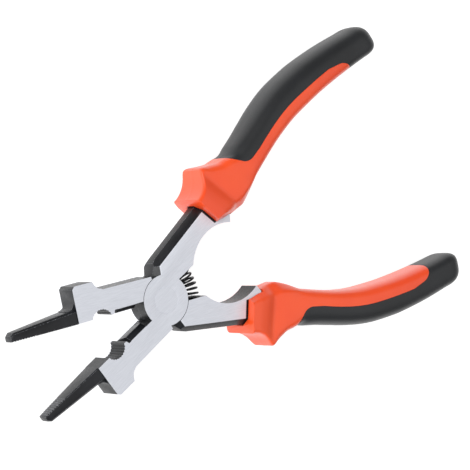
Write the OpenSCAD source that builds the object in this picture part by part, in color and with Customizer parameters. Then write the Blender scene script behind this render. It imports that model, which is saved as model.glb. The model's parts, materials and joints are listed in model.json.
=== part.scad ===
// Spring-loaded welding pliers, lying flat on their side.
// The pivot axis is Z, the jaws point along -X, and the origin is the middle of the lap joint.
// Both halves are the same forging. The rear one is turned over about X.
// Each half is drawn closed, with its jaw on the -Y side of the X axis and its handle on the +Y side.

/* [Head] */
// Thickness of the forged head across its two ground faces
head_t = 10; // [8:0.5:11]
// Radius of the round lap boss at the pivot
boss_r = 9.5; // [9.2:0.1:9.8]
// Angle between the two halves when the spring holds them open
open_angle = 26.6; // [10:0.1:26.6]

/* [Jaw] */
// Distance from the pivot to the end of the nose
nose_x = 63.5; // [54:0.5:70]
// Distance from the pivot to the end face of the grinding block
block_x = 37.3; // [35:0.1:40]
// Height of the block from the closing line to its outer edge
block_y = 13.7; // [12.5:0.1:15]
// Radius of the round notch that grips a nozzle tip
notch_r = 4.3; // [3.8:0.1:4.6]

/* [Pivot and spring] */
// Radius of the rivet's shank
rivet_r = 3.5; // [3:0.1:4]
// Radius of the rivet's flush heads
rivet_head_r = 5; // [4.5:0.1:5.5]
// Distance of the spring's centre line from the pivot axis
spring_arm = 13.6; // [13:0.1:14]
// Outer diameter of the spring
spring_d = 6.8; // [5.5:0.1:7]
// Diameter of the spring's wire
wire_d = 0.8; // [0.6:0.05:1]
// Turns of the spring
spring_turns = 9; // [5:1:10]

/* [Handles] */
// Thickness of the black overmould
skin = 2.2; // [1.5:0.1:3]
// Position of the rounded end of the grip
grip_end_x = 140; // [136:0.5:146]

/* [Hidden] */

half_t = head_t / 2;
reach = 300;
steel = "#c9ccd4";
blued = "#34363a";
orange = "#f7602f";
black = "#2c2e31";

// Gaps
lap_gap = 0.02;
pivot_gap = 0.05;
arm_gap = 0.25;
close_gap = 0.15;

// Jaw
cutter_y = 1.8;
cutter_z = 2.5;
cutter_x = [12.6, 20.6];
notch_at = [-27.6, 1.1];
nose_root = [5.5, 4.4];
nose_tip = [2.8, 2.6];
cove_r = 2.8;

// Shank
facet_a = [4.5, 8.4];
facet_b = [6, 11.2];
scoop_r = 16.6;
scoop_at = [29.7, -8.7];
horn_x = 41.8;
tang_t = 7;
tang_end_x = 122;
mouth_gap = 0.9;

// Spring pockets
pocket_r = spring_d / 2 + 0.3;
pocket_y = 6;
spring_flat_y = 2.4;

// Cuts away everything beyond a flat through a point, facing az degrees round and el degrees up.
module beyond(at, az, el = 0) {
    translate(at)
        rotate([0, -el, az])
            translate([0, -reach / 2, -reach / 2])
                cube(reach);
}

module slab(outline, thickness) {
    linear_extrude(height = thickness, center = true)
        polygon(outline);
}

// ---- Forged half ----

// The block and arm of the jaw, with a hump behind the block and a shoulder that stops the opening.
// Its cutting edge lies at height edge_z.
module jaw_arm(edge_z) {
    difference() {
        slab([
            [-boss_r + 2, -cutter_y],
            [-21.9, -cutter_y],
            [-22.5, -0.4],
            [-block_x, -0.4],
            [-block_x, 1 - block_y],
            [1 - block_x, -block_y],
            [-28.9, -block_y],
            [-28.3, -12.4],
            [-27.2, -11],
            [-25, -10.1],
            [-4.4, -9.8],
            [-4.2, -7],
        ], head_t);
        translate(notch_at)
            cylinder(r = notch_r, h = head_t + 2, center = true, $fn = 48);
        for (ridge = [-4:4])
            translate(notch_at)
                rotate([0, 0, ridge * 14 - 90])
                    translate([notch_r, 0, 0])
                        cylinder(r = 0.22, h = head_t + 2, center = true, $fn = 12);
    }
    // The cutting edge: a wedge that comes to a line.
    translate([-cutter_x[1], -cutter_y, 0])
        rotate([90, 0, 90])
            linear_extrude(height = cutter_x[1] - cutter_x[0])
                polygon([[-1, -half_t], [0, -half_t], [cutter_y - close_gap, edge_z], [0, half_t], [-1, half_t]]);
}

// One end of the nose: flat on its inner side, with its other corners taken off.
module nose_section(x, size, corner) {
    translate([x, 0, 0])
        rotate([90, 0, 90])
            linear_extrude(height = 0.1)
                polygon([
                    [-close_gap, -size[1] + 0.3],
                    [-close_gap, size[1] - 0.3],
                    [-close_gap - 0.3, size[1]],
                    [corner - size[0], size[1]],
                    [-size[0], size[1] - corner],
                    [-size[0], corner - size[1]],
                    [corner - size[0], -size[1]],
                    [-close_gap - 0.3, -size[1]],
                ]);
}

module nose() {
    hull() {
        nose_section(-block_x, nose_root, 0.8);
        nose_section(1.2 - nose_x, nose_tip + [0.5, 0], 0.6);
        nose_section(-nose_x, nose_tip - [0.5, 0.4], 0.5);
    }
    // Cove between the nose and the block's end face
    difference() {
        translate([-block_x - cove_r, -nose_root[0] - cove_r, -nose_root[1] + 0.8])
            cube([cove_r + 0.2, cove_r + 0.2, 2 * nose_root[1] - 1.6]);
        translate([-block_x - cove_r, -nose_root[0] - cove_r, 0])
            cylinder(r = cove_r, h = head_t, center = true, $fn = 48);
    }
}

// The shank between the pivot and the sleeve, with bevelled outer edges, the scoop and the horn.
module shank() {
    difference() {
        slab([
            [4, spring_flat_y],
            [horn_x - 2, spring_flat_y],
            [horn_x - 2, 3.4],
            [horn_x, 6.4],
            [horn_x, 18],
            [37, 17.9],
            [31, 17.1],
            [7.4, 13.7],
            [5.2, 13],
            [3.8, 11.6],
            [1.9, 9.75],
            [0, 6],
        ], head_t);
        for (side = [0, 1])
            mirror([0, 0, side]) {
                beyond([facet_a[0], facet_a[1], half_t], 152, 52);
                beyond([facet_b[0], facet_b[1], half_t], 97.8, 38);
            }
        translate(scoop_at)
            cylinder(r = scoop_r, h = head_t + 2, center = true, $fn = 96);
    }
}

// Height of the grip's centre line: an S-curve off the shank, then a slow droop.
function grip_mid(x) = x < 92
    ? 11.8 + 5.8 * (1 - cos(180 * (x - 34) / 58))
    : 23.4 - 0.0021 * pow(x - 92, 2);

// The flat tang that the sleeve is moulded on
module tang(gap = 0) {
    steps = [for (x = [horn_x - 4 : 9 : tang_end_x]) x];
    wide = function(x) 4.2 - 0.02 * (x - horn_x) + gap;
    slab(concat(
        [for (x = steps) [x, grip_mid(x) - wide(x)]],
        [for (i = [len(steps) - 1 : -1 : 0]) [steps[i], grip_mid(steps[i]) + wide(steps[i])]]
    ), tang_t + 2 * gap);
}

// A rivet hole with a countersink for the flush head on the half's ground face
module rivet_hole(gap) {
    cylinder(r = rivet_r + gap, h = 2 * head_t, center = true, $fn = 64);
    translate([0, 0, half_t - 1.5 - gap])
        cylinder(r1 = rivet_r + gap, r2 = rivet_head_r + gap, h = 1.5 + gap, $fn = 64);
}

module forged_half(hole_gap, edge_z) {
    difference() {
        union() {
            difference() {
                union() {
                    jaw_arm(edge_z);
                    shank();
                }
                cylinder(r = boss_r + arm_gap, h = head_t + 2, center = true, $fn = 96);
            }
            nose();
            tang();
            // The lap: a half-thickness boss, with the jaw and shank joined on to it at that thickness.
            intersection() {
                union() {
                    cylinder(r = boss_r, h = half_t, $fn = 96);
                    jaw_arm(edge_z);
                    shank();
                }
                translate([0, 0, lap_gap / 2])
                    cylinder(r = boss_r + 1, h = half_t, $fn = 96);
            }
        }
        rivet_hole(hole_gap);
        translate([spring_arm, spring_flat_y - 1, 0])
            rotate([-90, 0, 0])
                cylinder(r = pocket_r, h = pocket_y - spring_flat_y + 1, $fn = 48);
    }
}

module front_half() {
    color(steel)
        rotate([0, 0, open_angle / 2])
            forged_half(0, cutter_z);
}

module rear_half() {
    color(steel)
        rotate([180, 0, -open_angle / 2])
            forged_half(pivot_gap, -cutter_z);
}

module rivet() {
    color(steel)
        rotate_extrude($fn = 64)
            polygon([
                [0, -half_t],
                [rivet_head_r, -half_t],
                [rivet_r, 1.5 - half_t],
                [rivet_r, half_t - 1.5],
                [rivet_head_r, half_t],
                [0, half_t],
            ]);
}

// ---- Spring ----
// A compression spring whose centre line is an arc round the pivot, from pocket floor to pocket floor.
// Its end coils stop a wire's width short of the floors, so that neither digs in.
spring_span = open_angle + 2 * atan((pocket_y - wire_d) / (spring_arm + spring_d / 2));
coil_r = (spring_d - wire_d) / 2;
coil_steps = 14;
wire_sides = 6;

function coil_ring(i) =
    let (
        t = i / (spring_turns * coil_steps),
        bend = (t - 0.5) * spring_span,
        turn = 360 * spring_turns * t,
        out = [cos(bend), sin(bend), 0],
        along = [-sin(bend), cos(bend), 0],
        spoke = cos(turn) * out + [0, 0, sin(turn)],
        middle = spring_arm * out + coil_r * spoke
    )
    [for (k = [0 : wire_sides - 1])
        let (a = 360 * k / wire_sides)
        middle + wire_d / 2 * (cos(a) * spoke + sin(a) * along)];

module spring() {
    rings = spring_turns * coil_steps;
    last = rings * wire_sides;
    color(blued)
        polyhedron(
            points = [for (i = [0 : rings]) each coil_ring(i)],
            faces = concat(
                [[for (k = [wire_sides - 1 : -1 : 0]) k]],
                [[for (k = [0 : wire_sides - 1]) last + k]],
                [for (i = [0 : rings - 1], k = [0 : wire_sides - 1])
                    let (a = i * wire_sides + k, b = i * wire_sides + (k + 1) % wire_sides)
                    [a, b, b + wire_sides, a + wire_sides]]
            ));
}

// ---- Grips ----
// Each guard ring is [x, inner y, crease y, outer y]. A facet slopes from the crease on each broad
// face to the inner side, and the outer corners are rounded.
guard_rings = [
    [30, 8.6, 9.9, 22],
    [36, 8, 9.6, 24.8],
    [40.5, 6.5, 9.3, 28.3],
    [43, 5.8, 9.1, 27.9],
    [46, 5.3, 9, 26.3],
    [50, 5, 8.7, 24.3],
    [54.5, 6.8, 9.6, 23.7],
];
corner_r = 3.6;

// Half thickness of the guard. A valley runs slantwise across each broad face, behind the front block.
function guard_thick(x, y) = lookup(x + 0.32 * (y - 16.5),
    [[28, 9.4], [37, 8.8], [41, 8], [44, 6.8], [48, 7.1], [54, 7.5], [66, 7.8]]);

// Width of the grip from its centre line to its outer side and to its inner side
function grip_outer(x) = lookup(x,
    [[60, 8], [66, 7.3], [73, 7.1], [82, 7.3], [93, 7.8], [104, 7.9], [118, 7.2], [130, 6.4]]);
function grip_inner(x) = lookup(x, [[60, 6.8], [82, 7.1], [93, 7], [104, 6.7], [118, 6.7], [130, 6.6]]);

// Each grip ring is [x, inner y, outer y, half thickness].
body_rings = [for (x = [60 : 8 : grip_end_x - 8])
    [x, grip_mid(x) - grip_inner(x), grip_mid(x) + grip_outer(x), 7.6 + 1.8 * sin(180 * (x - 56) / 90)]];
end_rings = [
    [grip_end_x - 3, grip_mid(grip_end_x) - 4.4, grip_mid(grip_end_x) + 5.4, 6.2],
    [grip_end_x - 0.1, grip_mid(grip_end_x) - 1.6, grip_mid(grip_end_x) + 3, 3.4],
];
grip_rings = concat(body_rings, end_rings);

function signed_power(v, p) = sign(v) * pow(abs(v), p);

// A thin slice across the handle, from an outline in Y and Z
module slice(x, outline) {
    translate([x, 0, 0])
        rotate([90, 0, 90])
            linear_extrude(height = 0.1)
                polygon(outline);
}

// One side of the guard's outline, on the broad face at +Z or -Z
function guard_side(ring, side) =
    let (
        near = guard_thick(ring[0], ring[2]),
        far = guard_thick(ring[0], ring[3])
    )
    concat(
        [[ring[1], side * (near - 4)], [ring[2], side * near]],
        [for (a = [90 : -22.5 : 0])
            [ring[3] - corner_r + corner_r * cos(a), side * (far - corner_r + corner_r * sin(a))]]
    );

function reversed(list) = [for (i = [len(list) - 1 : -1 : 0]) list[i]];

module guard_section(ring) {
    slice(ring[0], concat(guard_side(ring, 1), reversed(guard_side(ring, -1))));
}

// An oval that is squarer on its inner side, shrunk by inset all round
module grip_section(ring, inset) {
    middle = (ring[1] + ring[2]) / 2;
    wide = (ring[2] - ring[1]) / 2 - inset;
    deep = ring[3] - inset;
    slice(ring[0], [for (a = [0 : 15 : 345])
        let (p = cos(a) < 0 ? 0.56 : 0.8)
        [middle + wide * signed_power(cos(a), p), deep * signed_power(sin(a), p)]]);
}

module guard() {
    for (i = [0 : len(guard_rings) - 2])
        hull() {
            guard_section(guard_rings[i]);
            guard_section(guard_rings[i + 1]);
        }
    hull() {
        guard_section(guard_rings[len(guard_rings) - 1]);
        grip_section(grip_rings[0], 0);
    }
}

module grip_body(inset = 0) {
    for (i = [0 : len(grip_rings) - 2])
        hull() {
            grip_section(grip_rings[i], inset);
            grip_section(grip_rings[i + 1], inset);
        }
}

// The outer side and the end of the handle, where the black overmould lies
module overmould_zone() {
    slab(concat(
        [[52.5, 40], [52.5, 25.6], [61, 19]],
        [for (x = [66 : 8 : 114]) [x, grip_mid(x) - 0.4]],
        [[119.5, 19.4], [122, 16], [120.5, 0], [reach / 2, 0], [reach / 2, 40]]
    ), head_t * 4);
}

// The orange core that the overmould covers
module core() {
    difference() {
        grip_body(skin);
        beyond([grip_end_x - skin, 0, 0], 0);
    }
}

// Orange sleeve: the finger guard, the inner side of the grip, and the core under the overmould
module sleeve() {
    difference() {
        union() {
            difference() {
                union() {
                    guard();
                    grip_body();
                }
                overmould_zone();
            }
            core();
        }
        // The front, in two planes that meet over the edge of the shank's bevel
        beyond([32.8, 17.3, 0], 185);
        beyond([32.8, 17.3, 0], 195.5);
        // The hollow ramp up to the finger stop
        translate([32, 30, 0])
            cylinder(r = 9.3, h = 40, center = true, $fn = 64);
        // The mouth, which clears the shank and the horn all round
        translate([0, 0, -half_t - mouth_gap])
            linear_extrude(height = head_t + 2 * mouth_gap)
                polygon([[20, 0], [horn_x + mouth_gap, 0], [horn_x + mouth_gap, 19.2], [31, 18.7], [20, 17]]);
        tang(0.05);
    }
}

module overmould() {
    difference() {
        intersection() {
            union() {
                guard();
                grip_body();
            }
            overmould_zone();
        }
        core();
        tang(0.05);
    }
}

module front_sleeve() {
    color(orange)
        rotate([0, 0, open_angle / 2])
            sleeve();
}

module rear_sleeve() {
    color(orange)
        rotate([180, 0, -open_angle / 2])
            sleeve();
}

module front_overmould() {
    color(black)
        rotate([0, 0, open_angle / 2])
            overmould();
}

module rear_overmould() {
    color(black)
        rotate([180, 0, -open_angle / 2])
            overmould();
}

front_half();
rear_half();
rivet();
spring();
front_sleeve();
front_overmould();
rear_sleeve();
rear_overmould();
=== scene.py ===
import json
import math

import bmesh
import bpy
from mathutils import Matrix, Vector


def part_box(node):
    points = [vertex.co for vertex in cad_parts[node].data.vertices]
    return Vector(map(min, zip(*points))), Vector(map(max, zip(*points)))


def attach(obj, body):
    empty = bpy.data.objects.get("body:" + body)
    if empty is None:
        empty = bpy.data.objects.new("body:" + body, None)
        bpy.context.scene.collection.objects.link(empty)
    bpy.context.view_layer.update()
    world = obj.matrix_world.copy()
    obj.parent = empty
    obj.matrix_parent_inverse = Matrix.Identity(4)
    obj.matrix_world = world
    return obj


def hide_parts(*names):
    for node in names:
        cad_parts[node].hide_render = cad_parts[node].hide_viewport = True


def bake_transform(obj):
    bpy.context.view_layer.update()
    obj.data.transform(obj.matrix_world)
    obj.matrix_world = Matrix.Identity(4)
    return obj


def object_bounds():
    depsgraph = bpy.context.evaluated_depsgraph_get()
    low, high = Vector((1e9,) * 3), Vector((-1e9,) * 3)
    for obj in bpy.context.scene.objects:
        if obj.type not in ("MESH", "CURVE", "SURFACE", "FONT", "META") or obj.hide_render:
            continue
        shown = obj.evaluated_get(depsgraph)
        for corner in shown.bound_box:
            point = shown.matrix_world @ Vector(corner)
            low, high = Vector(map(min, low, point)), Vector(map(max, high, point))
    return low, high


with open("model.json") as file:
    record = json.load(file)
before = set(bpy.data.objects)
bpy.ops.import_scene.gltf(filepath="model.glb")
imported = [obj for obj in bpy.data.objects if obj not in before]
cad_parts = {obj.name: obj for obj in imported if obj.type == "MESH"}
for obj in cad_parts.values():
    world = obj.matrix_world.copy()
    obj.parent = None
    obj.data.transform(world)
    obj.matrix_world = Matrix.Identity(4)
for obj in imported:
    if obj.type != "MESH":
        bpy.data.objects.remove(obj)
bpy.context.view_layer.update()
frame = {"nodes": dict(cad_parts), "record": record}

# ---- Forged halves ----
# Two copies of one drop forging in tool steel, the rear one turned over and crossed with the front
# one at the rivet. They are blackened all over and their broad faces are then ground bright.

MM = 0.001
half_angle = math.radians(frame["record"]["behaviour"]["joints"][0]["range_deg"][1] / 2)
# Each half is shaped closed, along the X axis, and then turned to where the spring holds it open.
PLACES = {
    "front": Matrix.Rotation(half_angle, 4, "Z"),
    "rear": Matrix.Rotation(-half_angle, 4, "Z") @ Matrix.Rotation(math.pi, 4, "X"),
}
half_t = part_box("front_half")[1][2]
# A belt breaks the outside edges, but not round the notch or inside the sleeve.
BROKEN_EDGE = 0.28 * MM
NOTCH = Vector((-27.6 * MM, 1.1 * MM))
NOTCH_CLEAR = 4.9 * MM
BELT_END_X = 44 * MM
# Teeth across the gripping face, close to the tip of the nose
TIP_X = -63.5 * MM
SERRATIONS = 9
SERRATION_PITCH = 1.05 * MM
SERRATION_R = 0.55 * MM
SERRATION_LENGTH = 12 * MM
SERRATION_Y = -0.02 * MM
# How worn the broken edges and the teeth are, and how much steel a fully worn face shows
EDGE_WORN = 1
TEETH_WORN = 0.5
WORN_THROUGH = (0.05, 0.5)
# The grinding fades out between these depths under a broad face, in a ragged line.
GROUND_DEPTHS = (0.22 * MM, 0.1 * MM)
RAGGED = 0.1 * MM
# It is also cut off just short of the sleeve's slanted mouth, over the flat of the shank, by a band of
# painted shadow: black oxide that stands in for the shade of the gap under the mouth.
MOUTH_X = 37.6 * MM
MOUTH_SLANT = math.tan(math.radians(15.5))
MOUTH_SHADOW_BAND = (0.9 * MM, 0.7 * MM)
SHANK_FLAT_Y = 8.1 * MM
# Noise, in cycles per metre. The brushed streaks are long and narrow, and run along the tool.
STREAKS = (260, 9000, 260)
CLOUDS = (120, 120, 120)
MILL_SCALE = (1500, 1500, 1500)
# Most of the noise lies between these two values.
NOISE_RANGE = (0.3, 0.7)
# Each pair is the two ends between which a colour or a roughness drifts.
STEEL_COLOURS = ((0.7, 0.72, 0.78, 1), (0.8, 0.82, 0.88, 1))
OXIDE_COLOURS = ((0.005, 0.0055, 0.007, 1), (0.011, 0.012, 0.015, 1))
STEEL_ROUGH = (0.6, 0.72)
OXIDE_ROUGH = (0.3, 0.44)
STEEL_METALLIC = 0.3


def add_piece(name, shape):
    """Makes an object from a bmesh and frees the bmesh."""
    mesh = bpy.data.meshes.new(name)
    shape.to_mesh(mesh)
    shape.free()
    piece = bpy.data.objects.new(name, mesh)
    bpy.context.scene.collection.objects.link(piece)
    return piece


def carve(piece, tool, operation):
    """Cuts, joins or crosses a closed piece with a closed tool, which is used up."""
    step = piece.modifiers.new(operation, "BOOLEAN")
    step.operation = operation
    step.solver = "EXACT"
    step.object = tool
    graph = bpy.context.evaluated_depsgraph_get()
    piece.data = bpy.data.meshes.new_from_object(piece.evaluated_get(graph))
    piece.modifiers.clear()
    bpy.data.objects.remove(tool)


def smooth_shading(piece, crease_degrees):
    """Smooth shading, with a sharp edge wherever two faces meet at more than the crease angle."""
    shape = bmesh.new()
    shape.from_mesh(piece.data)
    for face in shape.faces:
        face.smooth = True
    for edge in shape.edges:
        edge.smooth = edge.calc_face_angle(0) < math.radians(crease_degrees)
    shape.to_mesh(piece.data)
    shape.free()


def serration_teeth():
    """A row of three-sided bars, laid across the gripping face of the nose near its tip."""
    shape = bmesh.new()
    for tooth in range(SERRATIONS):
        made = bmesh.ops.create_cone(shape, cap_ends=True, cap_tris=False, segments=3,
                                     radius1=SERRATION_R, radius2=SERRATION_R,
                                     depth=SERRATION_LENGTH)
        bmesh.ops.rotate(shape, verts=made["verts"], matrix=Matrix.Rotation(-math.pi / 2, 3, "Z"))
        bmesh.ops.translate(shape, verts=made["verts"],
                            vec=(TIP_X + (tooth + 1) * SERRATION_PITCH, SERRATION_Y, 0))
    edge_wear = shape.faces.layers.float.new("edge_wear")
    for face in shape.faces:
        face[edge_wear] = TEETH_WORN
    return add_piece("serration_tool", shape)


def forging(side):
    """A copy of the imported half, drawn closed, with its teeth cut and its outside edges broken."""
    shape = bmesh.new()
    shape.from_mesh(frame["nodes"][side + "_half"].data)
    shape.transform(PLACES[side].inverted())
    bmesh.ops.remove_doubles(shape, verts=shape.verts, dist=0.002 * MM)
    bmesh.ops.dissolve_limit(shape, angle_limit=math.radians(0.8),
                             verts=shape.verts, edges=shape.edges)
    edge_wear = shape.faces.layers.float.new("edge_wear")
    outside = [
        edge for edge in shape.edges
        if edge.calc_face_angle_signed(0) > math.radians(25)
        and ((edge.verts[0].co + edge.verts[1].co).xy / 2 - NOTCH).length > NOTCH_CLEAR
        and edge.verts[0].co.x < BELT_END_X
    ]
    broken = bmesh.ops.bevel(shape, geom=outside, offset=BROKEN_EDGE, segments=2, profile=0.5,
                             affect="EDGES", material=-1, clamp_overlap=True)
    for face in broken["faces"]:
        face[edge_wear] = EDGE_WORN
    piece = add_piece(side + "_forging", shape)
    carve(piece, serration_teeth(), "DIFFERENCE")
    piece.data.transform(PLACES[side])
    smooth_shading(piece, crease_degrees=22)
    return piece


def feed(tree, value, socket):
    """Links an output to an input, or sets the input to a plain value."""
    if isinstance(value, bpy.types.NodeSocket):
        tree.links.new(value, socket)
    else:
        socket.default_value = value


def node_link(tree, kind, inputs, output=0, **settings):
    """Adds a shader node, feeds its inputs, and returns one of its outputs."""
    node = tree.nodes.new(kind)
    for name, value in settings.items():
        setattr(node, name, value)
    for name, value in inputs.items():
        feed(tree, value, node.inputs[name])
    return node.outputs[output]


def new_material(name):
    """A material, with its node tree, its plain Principled surface and the object coordinates."""
    material = bpy.data.materials.new(name)
    material.use_nodes = True
    tree = material.node_tree
    place = node_link(tree, "ShaderNodeTexCoord", {}, output="Object")
    return material, tree, tree.nodes["Principled BSDF"], place


def noise(tree, place, stretch, detail=4.0):
    """Noise with its own number of cycles per metre along each axis."""
    laid = node_link(tree, "ShaderNodeMapping", {"Vector": place, "Scale": stretch})
    return node_link(tree, "ShaderNodeTexNoise", {"Vector": laid, "Scale": 1.0, "Detail": detail})


def between(tree, value, low, high, to_low=0.0, to_high=1.0):
    """A value carried smoothly from one range to another."""
    return node_link(tree, "ShaderNodeMapRange", {
        "Value": value, "From Min": low, "From Max": high, "To Min": to_low, "To Max": to_high,
    }, interpolation_type="SMOOTHSTEP")


def mix_colours(tree, amount, first, second):
    """A colour between two others."""
    inputs = {0: amount, 6: first, 7: second}
    return node_link(tree, "ShaderNodeMix", inputs, output=2, data_type="RGBA")


def maths(tree, operation, first, second=0.0):
    """One sum on two numbers."""
    return node_link(tree, "ShaderNodeMath", {0: first, 1: second}, operation=operation)


def bumpy(tree, height, strength, surface):
    """Shades a fine grain into a surface. The mesh stays as it is."""
    bump = node_link(tree, "ShaderNodeBump", {
        "Height": height, "Strength": strength, "Distance": 0.05 * MM,
    })
    feed(tree, bump, surface.inputs["Normal"])


def forged_steel(name, turned_over):
    """Black oxide over forged steel, ground bright on the broad faces along the tool's length."""
    material, tree, surface, place = new_material(name)
    # Coordinates in which this half lies closed along X
    closed = node_link(tree, "ShaderNodeMapping", {
        "Vector": place, "Rotation": (turned_over, 0, -half_angle),
    })
    streaks = noise(tree, closed, STREAKS, detail=6)
    clouds = noise(tree, place, CLOUDS)
    scale = noise(tree, place, MILL_SCALE)
    # The ground faces end in a ragged line just over their edges.
    height = node_link(tree, "ShaderNodeSeparateXYZ", {"Vector": place}, output="Z")
    ragged = maths(tree, "MULTIPLY", maths(tree, "SUBTRACT", clouds, 0.5), RAGGED)
    level = maths(tree, "ADD", maths(tree, "ABSOLUTE", height), ragged)
    split = node_link(tree, "ShaderNodeSeparateXYZ", {"Vector": closed}).node
    slant = maths(tree, "MULTIPLY", split.outputs["Y"], MOUTH_SLANT)
    along_shank = maths(tree, "ADD", split.outputs["X"], slant)
    # Painted shadow: a dark oxide band across the ground steel along the sleeve's mouth, in place of
    # the shade in the gap there.
    mouth_gap_shadow = maths(tree, "MULTIPLY",
                     between(tree, along_shank, *(MOUTH_X - short for short in MOUTH_SHADOW_BAND)),
                     between(tree, split.outputs["Y"], SHANK_FLAT_Y, SHANK_FLAT_Y + 0.3 * MM))
    # Ground steel shows on the broad faces, except in the painted shadow band at the mouth.
    ground = maths(tree, "MULTIPLY",
                   between(tree, level, *(half_t - depth for depth in GROUND_DEPTHS)),
                   maths(tree, "SUBTRACT", 1.0, mouth_gap_shadow))
    worn = node_link(tree, "ShaderNodeAttribute", {}, output="Fac", attribute_name="edge_wear")
    rubbed = maths(tree, "MULTIPLY", worn, between(tree, scale, 0.35, 0.7, *WORN_THROUGH))
    bare = maths(tree, "MAXIMUM", ground, rubbed)
    steel = mix_colours(tree, between(tree, streaks, *NOISE_RANGE), *STEEL_COLOURS)
    black = mix_colours(tree, between(tree, clouds, 0.35, 0.65), *OXIDE_COLOURS)
    feed(tree, mix_colours(tree, bare, black, steel), surface.inputs["Base Color"])
    feed(tree, maths(tree, "MULTIPLY", bare, STEEL_METALLIC), surface.inputs["Metallic"])
    satin = between(tree, streaks, *NOISE_RANGE, *STEEL_ROUGH)
    oxide = between(tree, scale, *NOISE_RANGE, *OXIDE_ROUGH)
    rough = node_link(tree, "ShaderNodeMix", {"Factor": ground, "A": oxide, "B": satin})
    feed(tree, rough, surface.inputs["Roughness"])
    surface.inputs["Specular IOR Level"].default_value = 0.4
    grain = node_link(tree, "ShaderNodeMix", {"Factor": ground, "A": scale, "B": streaks})
    bumpy(tree, grain, 0.16, surface)
    return material


for side, turned_over in (("front", 0), ("rear", math.pi)):
    half = forging(side)
    half.data.materials.clear()
    half.data.materials.append(forged_steel(side + "_forged_steel", turned_over))
    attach(half, side)
    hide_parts(side + "_half")

# ---- Rivet ----
# One steel rivet through both laps. Its heads are peened into countersinks and ground off flush
# with the broad faces, so that only a fine ring shows.

RIVET_HEAD_R = 5.0 * MM
RIVET_SHANK_R = 3.5 * MM
RIVET_HEAD_DEPTH = 1.5 * MM
RING_WIDTH = 0.09 * MM
RING_DEPTH = 0.3 * MM


def rivet_shape():
    """The rivet, from its outline spun about the pivot axis. A fine groove rings each head."""
    shape = bmesh.new()
    outline = [
        (0, half_t),
        (RIVET_HEAD_R - RING_WIDTH, half_t),
        (RIVET_HEAD_R, half_t - RING_DEPTH),
        (RIVET_SHANK_R, half_t - RIVET_HEAD_DEPTH),
        (RIVET_SHANK_R, RIVET_HEAD_DEPTH - half_t),
        (RIVET_HEAD_R, RING_DEPTH - half_t),
        (RIVET_HEAD_R - RING_WIDTH, -half_t),
        (0, -half_t),
    ]
    points = [shape.verts.new((radius, 0, height)) for radius, height in outline]
    edges = [shape.edges.new(pair) for pair in zip(points, points[1:])]
    bmesh.ops.spin(shape, geom=points + edges, cent=(0, 0, 0), axis=(0, 0, 1), dvec=(0, 0, 0),
                   angle=2 * math.pi, steps=96, use_merge=True)
    bmesh.ops.remove_doubles(shape, verts=shape.verts, dist=0.001 * MM)
    bmesh.ops.recalc_face_normals(shape, faces=shape.faces)
    return shape


rivet = add_piece("pivot_rivet", rivet_shape())
smooth_shading(rivet, crease_degrees=25)
rivet.data.materials.append(forged_steel("rivet_steel", 0))
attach(rivet, "front")
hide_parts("rivet")

# ---- Return spring ----
# A compression spring of black music wire, with closed end coils. It is bowed round the pivot and
# sits in a drilled pocket in each shank. The real one shortens as the handles close; this one is one
# fixed shape.

COIL_R = 3.0 * MM
WIRE_R = 0.4 * MM
COILS = 9
STEPS_A_COIL = 32
WIRE_SIDES = 10
# Nearly one coil at each end is closed. It rises by this share of the spring's length.
FLAT_COILS = 0.9
FLAT_RISE = 0.08
# The spring's middle line is an arc about the pivot.
SPRING_ARM = 13.6 * MM
SPRING_HALF_ANGLE = math.radians(30)
WIRE_NOISE = (900, 900, 900)
WIRE_COLOURS = ((0.008, 0.008, 0.01, 1), (0.035, 0.036, 0.04, 1))
WIRE_ROUGH = (0.22, 0.36)


def closed_ends(t):
    """How far along the spring the wire is: the first and last coil lie nearly flat."""
    flat = FLAT_COILS / COILS
    if t < flat:
        return FLAT_RISE * t / flat
    if t > 1 - flat:
        return 1 - FLAT_RISE * (1 - t) / flat
    return FLAT_RISE + (1 - 2 * FLAT_RISE) * (t - flat) / (1 - 2 * flat)


def join_rings(shape, rings):
    """Bridges each ring of vertices to the next."""
    for first, second in zip(rings, rings[1:]):
        near = set(first) | set(second)
        edges = dict.fromkeys(edge for vert in (*first, *second) for edge in vert.link_edges
                              if edge.other_vert(vert) in near)
        bmesh.ops.bridge_loops(shape, edges=list(edges))


def spring_shape():
    """The wire, a circle at a time along its helix, with a flat end at each tip."""
    shape = bmesh.new()
    rings = []
    steps = COILS * STEPS_A_COIL
    for step in range(steps + 1):
        t = step / steps
        bow = Matrix.Rotation((2 * closed_ends(t) - 1) * SPRING_HALF_ANGLE, 4, "Z")
        turn = Matrix.Rotation(-2 * math.pi * COILS * t, 4, "Y")
        place = bow @ Matrix.Translation((SPRING_ARM, 0, 0)) @ turn @ Matrix.Translation((COIL_R, 0, 0))
        rings.append(bmesh.ops.create_circle(shape, cap_ends=step in (0, steps), segments=WIRE_SIDES,
                                             radius=WIRE_R, matrix=place)["verts"])
    join_rings(shape, rings)
    bmesh.ops.recalc_face_normals(shape, faces=shape.faces)
    return shape


def wire_material():
    """Black oxide on drawn wire: darker and smoother than the forgings, with a mottled tone."""
    material, tree, surface, place = new_material("spring_wire")
    mottle = noise(tree, place, WIRE_NOISE)
    tint = mix_colours(tree, between(tree, mottle, 0.4, 0.7), *WIRE_COLOURS)
    feed(tree, tint, surface.inputs["Base Color"])
    feed(tree, between(tree, mottle, *NOISE_RANGE, *WIRE_ROUGH), surface.inputs["Roughness"])
    surface.inputs["Metallic"].default_value = 0.4
    return material


spring = add_piece("return_spring", spring_shape())
smooth_shading(spring, crease_degrees=60)
spring.data.materials.append(wire_material())
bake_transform(spring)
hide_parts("spring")

# ---- Sleeves ----
# Stiff orange plastic, moulded over each tang. The front is a finger guard with a hollow ramp, flat
# side faces and a slope down to the inner side. Behind it the grip is a squarish oval.

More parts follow.
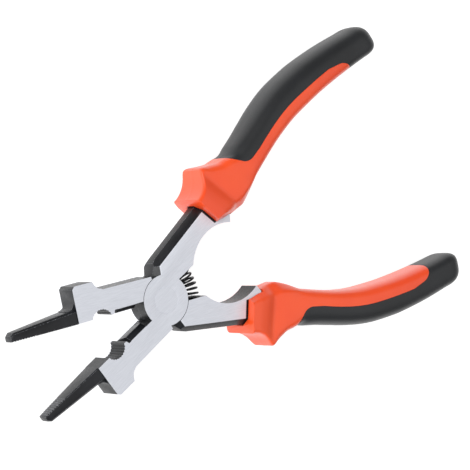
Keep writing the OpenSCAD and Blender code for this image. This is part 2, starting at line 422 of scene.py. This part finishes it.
# The handle is drawn closed and in millimetres, and scaled to metres when it becomes a mesh.
GUARD_X = 31
GRIP_END_X = 139.9
# The guard blends into the grip between these places, and its creases are softened up to the last.
BLEND_X = (53, 61)
SOFT_END_X = 60
# The grip's centre line rises off the shank in an S to its crest, and droops behind it.
RISE_X = 34
CREST_X = 92
SHANK_Y = 11.8
CREST_Y = 23.4
DROOP = 0.0021
# Each station is [x, inner y, crease y, outer y].
GUARD_STATIONS = [
    [30, 8.6, 9.9, 22],
    [36, 8, 9.6, 24.8],
    [40.5, 6.5, 9.3, 28.3],
    [43, 5.8, 9.1, 27.9],
    [46, 5.2, 9, 26.3],
    [50, 4.8, 8.7, 24.3],
    [54.5, 6.6, 9.6, 23.7],
    [61, 8.2, 10.4, 24.2],
]
# Half thickness along the handle. The lowest is a valley that runs slantwise over the broad face.
GUARD_THICKNESS = [[28, 9.4], [37, 8.8], [41, 8], [44, 6.8], [48, 7.1], [54, 7.5], [66, 7.8]]
VALLEY_SLANT = 0.32
VALLEY_Y = 16.5
# A facet drops from the crease to the inner side.
SLOPE_DROP = 4
# Radius of the outer corners, which grows between two places behind the ramp
CORNER_R = 1.5
CORNER_GROWTH = 1.9
CORNER_X = (41, 46)
# The hollow ramp is part of a cylinder across the handle.
RAMP_AXIS = (32, 30)
RAMP_R = 9.3
# Width of the grip from its centre line to each side: pairs of x and width.
GRIP_OUTER = [[60, 8], [66, 7.3], [73, 7.1], [82, 7.3], [93, 7.8], [104, 7.9], [118, 7.2], [130, 6.4]]
GRIP_INNER = [[60, 6.8], [82, 7.1], [93, 7], [104, 6.7], [118, 6.7], [130, 6.6]]
# Half thickness of the grip, which swells towards the middle of the palm
GRIP_DEEP = 7.6
GRIP_SWELL = 1.8
SWELL_X = 56
SWELL_LENGTH = 90
# An oval's power: at 1 it is an ellipse, and lower is squarer.
OUTER_POWER = 0.72
INNER_POWER = 0.56
# The share of the handle's length over which its end is rounded off, and the small flat left there
END_SHARE = 0.055
END_POWER = 2.4
END_SHORT = 0.02
# The mould's parting line: a ridge along the outer side, and a darker line all round
PARTING_RIDGE = 0.09
LINE_EDGES = (0.08 * MM, 0.22 * MM)
LINE_FADE = 0.82
LINE_DARKENING = 0.7
# The overmould's thickness, and where the core under it starts
SKIN = 2.2
CORE_X = 50
# The overmould's seam: its front, its rounded heel, a line just under the centre, its rounded tip
SEAM_X = 52.5
SEAM_FRONT_Y = 25.6
SEAM_HEEL = (59.6, 17)
SEAM_DROP = 0.4
SEAM_MIDDLE = range(67, 113, 4)
SEAM_TIP = [(119.5, 19.8), (121.6, 15)]
SEAM_END_X = 120.5
SEAM_ROUND = 2.8
SEAM_EDGE = 0.16
# The black zone's outline passes well clear of the grip on its other sides.
CLEAR_X = 150
CLEAR_Y = 40
# The mouth follows the shank, with its two long bevels. Each pair is x and outer y.
MOUTH_OUTER = [(20, 16.1), (31, 17.6), (37, 18.4), (42.7, 18.5)]
MOUTH_DEEP = 5.4
MOUTH_BEVEL = 2.5
MOUTH_EDGE = 2.1
# What is cut off the guard's front, in two planes that meet over the edge of the shank's bevel.
FRONT_OUTLINE = [(28, 0), (37.6, 0), (32.8, 17.3), (31.5, 32), (28, 32)]
TOOL_DEPTH = 40
# Points on each part of a guard section, and the greatest x for each spacing of sections
SIDE_POINTS = 12
CORNER_POINTS = 8
SLOPE_POINTS = 6
SPACING = [(62, 0.7), (130, 1.5), (140, 0.6)]
DRIFT = (45, 45, 45)
ORANGE_COLOURS = ((0.94, 0.07, 0.007, 1), (1.0, 0.09, 0.011, 1))


def grip_middle(x):
    """Height of the grip's centre line: an S-curve off the shank, then a slow droop."""
    if x > CREST_X:
        return CREST_Y - DROOP * (x - CREST_X) ** 2
    climbed = (1 - math.cos(math.pi * (x - RISE_X) / (CREST_X - RISE_X))) / 2
    return SHANK_Y + (CREST_Y - SHANK_Y) * climbed


def read_off(stations, x):
    """The sizes at one place, between the two stations on either side of it."""
    for first, second in zip(stations, stations[1:]):
        if x <= second[0]:
            t = max((x - first[0]) / (second[0] - first[0]), 0)
            return [a + t * (b - a) for a, b in zip(first[1:], second[1:])]
    return stations[-1][1:]


def guard_thick(x, y):
    """The guard's half thickness, on either side of the slanting valley."""
    return read_off(GUARD_THICKNESS, x + VALLEY_SLANT * (y - VALLEY_Y))[0]


def smoothstep(value, low, high):
    """Nought below a range and one above it, with a smooth rise between."""
    t = min(max((value - low) / (high - low), 0), 1)
    return t * t * (3 - 2 * t)


def along(first, second, count):
    """Points from one place up to, but not including, another."""
    return [tuple(a + (b - a) * i / count for a, b in zip(first, second)) for i in range(count)]


def guard_side(x):
    """The guard's outline over the broad face, from the middle of its outer side to the inner one."""
    inner, crease, outer = read_off(GUARD_STATIONS, x)
    if x < RAMP_AXIS[0] + RAMP_R:
        outer = min(outer, RAMP_AXIS[1] - math.sqrt(max(RAMP_R ** 2 - (x - RAMP_AXIS[0]) ** 2, 0)))
    corner = CORNER_R + CORNER_GROWTH * smoothstep(x, *CORNER_X)
    far = guard_thick(x, outer - corner)
    near = guard_thick(x, crease)
    side = along((outer, 0), (outer, far - corner), SIDE_POINTS)
    side[0] = (outer + PARTING_RIDGE, 0)
    for i in range(CORNER_POINTS):
        a = math.pi / 2 * i / CORNER_POINTS
        side.append((outer - corner + corner * math.cos(a), far - corner + corner * math.sin(a)))
    for i in range(SIDE_POINTS):
        y = outer - corner + (crease - outer + corner) * i / SIDE_POINTS
        side.append((y, guard_thick(x, y)))
    side += along((crease, near), (inner, near - SLOPE_DROP), SLOPE_POINTS)
    side += along((inner, near - SLOPE_DROP), (inner, 0), SLOPE_POINTS)
    return side + [(inner, 0)]


def oval_side(x, inset):
    """The grip's outline over the broad face, rounded off towards its end."""
    outer = read_off(GRIP_OUTER, x)[0] - inset
    inner = read_off(GRIP_INNER, x)[0] - inset
    deep = GRIP_DEEP + GRIP_SWELL * math.sin(math.pi * (x - SWELL_X) / SWELL_LENGTH) - inset
    end = min(max((x / (GRIP_END_X - inset) - 1 + END_SHARE) / END_SHARE, 0), 1)
    rounding = (1 - end ** END_POWER) ** (1 / END_POWER)
    count = 2 * SIDE_POINTS + CORNER_POINTS + 2 * SLOPE_POINTS
    outline = []
    for i in range(count + 1):
        a = math.pi * i / count
        wide, power = (inner, INNER_POWER) if a > math.pi / 2 else (outer, OUTER_POWER)
        across = math.copysign(abs(math.cos(a)) ** power, math.cos(a))
        up = abs(math.sin(a)) ** power if 0 < i < count else 0
        outline.append((grip_middle(x) + rounding * wide * across, rounding * deep * up))
    return outline


def loft(sections):
    """A closed body through flat sections. Each gives its x and half of its outline."""
    shape = bmesh.new()
    rings = []
    for x, side in sections:
        outline = side + [(y, -z) for y, z in reversed(side) if z > 0]
        ring = bmesh.ops.create_circle(shape, segments=len(outline), radius=1)["verts"]
        for vert, (y, z) in zip(ring, outline):
            vert.co = Vector((x, y, z)) * MM
        rings.append(ring)
    join_rings(shape, rings)
    for ring in (rings[0], rings[-1]):
        bmesh.ops.contextual_create(shape, geom=ring)
    bmesh.ops.recalc_face_normals(shape, faces=shape.faces)
    return shape


def section_places(first_x, last_x):
    """Where the handle's sections lie: closer together over the guard and at the rounded end."""
    places = [first_x]
    while places[-1] < last_x:
        gap = next(gap for greatest_x, gap in SPACING if places[-1] < greatest_x)
        x = places[-1] + gap
        places.append(x if x < last_x - 0.1 else last_x)
    return places


def blended(guard, oval, share):
    """An outline between the guard's and the grip's, point by point."""
    return [((1 - share) * g[0] + share * o[0], (1 - share) * g[1] + share * o[1])
            for g, o in zip(guard, oval)]


def handle_shape(first_x, inset):
    """The handle from a place in the guard to the grip's end. An inset one is the grip's core."""
    sections = []
    for x in section_places(first_x, GRIP_END_X - inset - END_SHORT):
        side = oval_side(x, inset)
        if inset == 0 and x < BLEND_X[1]:
            side = blended(guard_side(x), side, smoothstep(x, *BLEND_X))
        sections.append((x, side))
    return loft(sections)


def soften_guard(shape):
    """Rounds the guard's creases, as a mould has them."""
    guard = [vert for vert in shape.verts if vert.co.x < SOFT_END_X * MM]
    for _ in range(3):
        bmesh.ops.smooth_vert(shape, verts=guard, factor=0.5,
                              use_axis_x=False, use_axis_y=True, use_axis_z=True)


def prism(name, outline, rounded=()):
    """A cutting tool: a flat outline, with some of its corners rounded, drawn out along Z."""
    shape = bmesh.new()
    points = [shape.verts.new((x * MM, y * MM, -TOOL_DEPTH / 2 * MM)) for x, y in outline]
    shape.faces.new(points)
    if rounded:
        corners = [point for point, place in zip(points, outline) if place in rounded]
        bmesh.ops.bevel(shape, geom=corners, offset=SEAM_ROUND * MM, segments=6,
                        profile=0.5, affect="VERTICES", material=-1, clamp_overlap=True)
    drawn = bmesh.ops.extrude_face_region(shape, geom=shape.faces[:])
    top = [part for part in drawn["geom"] if isinstance(part, bmesh.types.BMVert)]
    bmesh.ops.translate(shape, verts=top, vec=(0, 0, TOOL_DEPTH * MM))
    bmesh.ops.recalc_face_normals(shape, faces=shape.faces)
    return add_piece(name, shape)


def overmould_prism(gap=0.0):
    """The black zone: the outer side and the end of the grip, from a small gap behind the seam."""
    heel, *tip = [(x + gap, y) for x, y in [SEAM_HEEL, *SEAM_TIP]]
    middle = [(x, grip_middle(x) - SEAM_DROP + gap) for x in SEAM_MIDDLE]
    outline = [(SEAM_X + gap, CLEAR_Y), (SEAM_X + gap, SEAM_FRONT_Y), heel, *middle, *tip,
               (SEAM_END_X + gap, 0), (CLEAR_X, 0), (CLEAR_X, CLEAR_Y)]
    return prism("overmould_prism", outline, rounded=(heel, *tip))


def put_in_order(shape):
    """Sorts a mesh's parts along a skewed line, so that each run works through them alike."""
    line = Vector((1, 0.618, 0.414))
    shape.verts.sort(key=lambda vert: vert.co.dot(line))
    shape.edges.sort(key=lambda edge: (edge.verts[0].co + edge.verts[1].co).dot(line))
    shape.faces.sort(key=lambda face: face.calc_center_median().dot(line))
    for parts in (shape.verts, shape.edges, shape.faces):
        parts.index_update()


def finish_seam(piece):
    """Merges the slivers that a cut leaves and breaks its sharp edges."""
    shape = bmesh.new()
    shape.from_mesh(piece.data)
    put_in_order(shape)
    bmesh.ops.remove_doubles(shape, verts=shape.verts, dist=0.09 * MM)
    put_in_order(shape)
    bmesh.ops.dissolve_degenerate(shape, dist=0.01 * MM, edges=shape.edges)
    put_in_order(shape)
    seam = [edge for edge in shape.edges if edge.calc_face_angle_signed(0) > math.radians(50)]
    bmesh.ops.bevel(shape, geom=seam, offset=SEAM_EDGE * MM, segments=2, profile=0.5,
                    affect="EDGES", material=-1, clamp_overlap=True)
    shape.to_mesh(piece.data)
    shape.free()


def sleeve_piece():
    """The sleeve, closed: guard and inner side, the core under the overmould, and the open mouth."""
    handle = handle_shape(GUARD_X, 0)
    soften_guard(handle)
    sleeve = add_piece("sleeve", handle)
    carve(sleeve, overmould_prism(), "DIFFERENCE")
    carve(sleeve, add_piece("core_tool", handle_shape(CORE_X, SKIN)), "UNION")
    mouth = loft([
        (x, [(outer, MOUTH_EDGE), (outer - MOUTH_BEVEL, MOUTH_DEEP), (0, MOUTH_DEEP)])
        for x, outer in MOUTH_OUTER
    ])
    carve(sleeve, add_piece("mouth_tool", mouth), "DIFFERENCE")
    carve(sleeve, prism("front_tool", FRONT_OUTLINE), "DIFFERENCE")
    finish_seam(sleeve)
    return sleeve


def placed_copy(closed, name, side, material):
    """A copy of a closed piece, turned to where its half of the tool stands."""
    mesh = closed.data.copy()
    mesh.transform(PLACES[side])
    piece = bpy.data.objects.new(name, mesh)
    bpy.context.scene.collection.objects.link(piece)
    smooth_shading(piece, crease_degrees=32)
    mesh.materials.append(material)
    return piece


def moulded_plastic(name, colours, rough, grain, coat, coat_rough):
    """Moulded plastic: a slow drift of colour, a fine spark-eroded grain and a faint parting line."""
    material, tree, surface, place = new_material(name)
    drift = noise(tree, place, DRIFT, detail=3)
    fine = noise(tree, place, (grain, grain, grain), detail=5)
    height = node_link(tree, "ShaderNodeSeparateXYZ", {"Vector": place}, output="Z")
    line = between(tree, maths(tree, "ABSOLUTE", height), *LINE_EDGES, LINE_FADE, 1.0)
    tint = mix_colours(tree, between(tree, drift, *NOISE_RANGE), *colours)
    line_colour = (*(LINE_DARKENING * part for part in colours[0][:3]), 1)
    feed(tree, mix_colours(tree, line, line_colour, tint), surface.inputs["Base Color"])
    spread = between(tree, fine, *NOISE_RANGE, rough - 0.06, rough + 0.06)
    feed(tree, spread, surface.inputs["Roughness"])
    surface.inputs["Coat Weight"].default_value = coat
    surface.inputs["Coat Roughness"].default_value = coat_rough
    bumpy(tree, fine, 0.2, surface)
    return material


orange = moulded_plastic("orange_plastic", ORANGE_COLOURS, rough=0.36, grain=2600,
                         coat=0.4, coat_rough=0.3)
closed_sleeve = sleeve_piece()
for side in ("front", "rear"):
    sleeve = placed_copy(closed_sleeve, side + "_orange_sleeve", side, orange)
    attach(sleeve, side)
    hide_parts(side + "_sleeve")
bpy.data.objects.remove(closed_sleeve)

# ---- Overmoulds ----
# A skin of soft black elastomer on the outer side and the end of each grip, moulded over the
# orange core. Its edge meets the orange in a fine rounded groove.

SEAM_GAP = 0.05
BLACK_COLOURS = ((0.005, 0.006, 0.0075, 1), (0.01, 0.0115, 0.014, 1))


def overmould_piece():
    """The overmould, closed: the handle's outer skin, without its core."""
    skin = add_piece("overmould", handle_shape(GUARD_X, 0))
    carve(skin, overmould_prism(SEAM_GAP), "INTERSECT")
    carve(skin, add_piece("core_tool", handle_shape(CORE_X, SKIN)), "DIFFERENCE")
    finish_seam(skin)
    return skin


elastomer = moulded_plastic("black_elastomer", BLACK_COLOURS, rough=0.5, grain=3400,
                            coat=0.25, coat_rough=0.35)
closed_skin = overmould_piece()
for side in ("front", "rear"):
    skin = placed_copy(closed_skin, side + "_black_overmould", side, elastomer)
    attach(skin, side)
    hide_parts(side + "_overmould")
bpy.data.objects.remove(closed_skin)

# ---- Setting ----
# A pale floor just under the pliers, soft light from a white sky and two square lamps, and a long
# lens that looks down on them from the side of the jaws.

FLOOR_GAP = 0.1 * MM
FLOOR_GLOW = 0.78
SKY_STRENGTH = 0.3
LAMP_AIM = Vector((0.02, 0, 0))
CAMERA_AT = (-0.34213, 0.18001, 0.61681)
# Turns about X, Y and Z, in degrees
CAMERA_TURNS = (1.257, -34.266, -26.577)

new_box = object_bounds()

floor_shape = bmesh.new()
bmesh.ops.create_grid(floor_shape, x_segments=1, y_segments=1, size=4)
bmesh.ops.translate(floor_shape, verts=floor_shape.verts, vec=(0, 0, new_box[0].z - FLOOR_GAP))
floor = add_piece("floor", floor_shape)
floor_material, _, floor_surface, _ = new_material("floor_white")
floor_surface.inputs["Base Color"].default_value = (0.5, 0.5, 0.5, 1)
floor_surface.inputs["Roughness"].default_value = 0.6
floor_surface.inputs["Emission Color"].default_value = (1, 1, 1, 1)
floor_surface.inputs["Emission Strength"].default_value = FLOOR_GLOW
floor.data.materials.append(floor_material)

world = bpy.data.worlds.new("soft_sky")
world.use_nodes = True
world.node_tree.nodes["Background"].inputs["Color"].default_value = (1, 1, 1, 1)
world.node_tree.nodes["Background"].inputs["Strength"].default_value = SKY_STRENGTH
bpy.context.scene.world = world
bpy.context.scene.view_settings.view_transform = "Standard"


def lamp(name, at, size, power):
    """A square soft box that faces the head of the pliers."""
    light = bpy.data.lights.new(name, "AREA")
    light.size = size
    light.energy = power
    box = bpy.data.objects.new(name, light)
    facing = (Vector(at) - LAMP_AIM).to_track_quat("Z", "Y")
    box.matrix_world = Matrix.Translation(at) @ facing.to_matrix().to_4x4()
    bpy.context.scene.collection.objects.link(box)


lamp("key_light", (-1.1, 0.55, 1.05), size=1.5, power=26)
lamp("top_light", (0.47, -0.25, 0.85), size=0.9, power=1.7)

camera = bpy.data.objects.new("camera", bpy.data.cameras.new("camera"))
camera.data.lens = 151.8
camera.data.sensor_width = 36
camera.location = CAMERA_AT
camera.rotation_euler = [math.radians(turn) for turn in CAMERA_TURNS]
bpy.context.scene.collection.objects.link(camera)
bpy.context.scene.camera = camera
